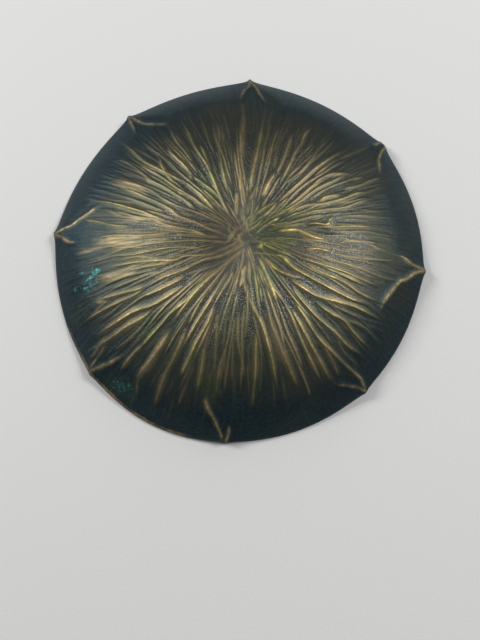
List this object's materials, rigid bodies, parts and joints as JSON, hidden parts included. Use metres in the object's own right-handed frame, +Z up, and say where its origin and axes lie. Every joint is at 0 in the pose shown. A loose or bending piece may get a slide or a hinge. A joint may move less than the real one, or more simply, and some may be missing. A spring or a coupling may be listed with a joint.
{
  "type": "flower frog",
  "caption": "Shallow cupped lotus leaf of patinated bronze, lying face down, with a soldered bed of upright stem needles inside.",
  "frame": {"origin": "middle of the leaf's outline, at the height of the surface that the rim rests on", "axes": "+Z up out of the crown of the leaf's back, as the frog lies face down with its needles pointing down; +X to the right and +Y away from the viewer"},
  "size_m": [0.1192, 0.1198, 0.0197],
  "materials": {
    "patinated_bronze": "dark blue-black patina, rubbed to bare gold on the veins and folds",
    "solder": "dull grey tin-lead solder with a cast skin",
    "lead_alloy": "dull oxidised lead alloy",
    "needle_brass": "drawn brass, slightly tarnished"
  },
  "bodies": {
    "root": {"leaf_shell": "patinated_bronze", "solder_bed": "solder", "needle_plate": "lead_alloy", "needle_row_01": "needle_brass", "needle_row_02": "needle_brass", "needle_row_03": "needle_brass", "needle_row_04": "needle_brass", "needle_row_05": "needle_brass", "needle_row_06": "needle_brass", "needle_row_07": "needle_brass", "needle_row_08": "needle_brass", "needle_row_09": "needle_brass", "needle_row_10": "needle_brass", "needle_row_11": "needle_brass", "needle_row_12": "needle_brass", "needle_row_13": "needle_brass", "needle_row_14": "needle_brass", "needle_row_15": "needle_brass"}
  },
  "joints": []
}
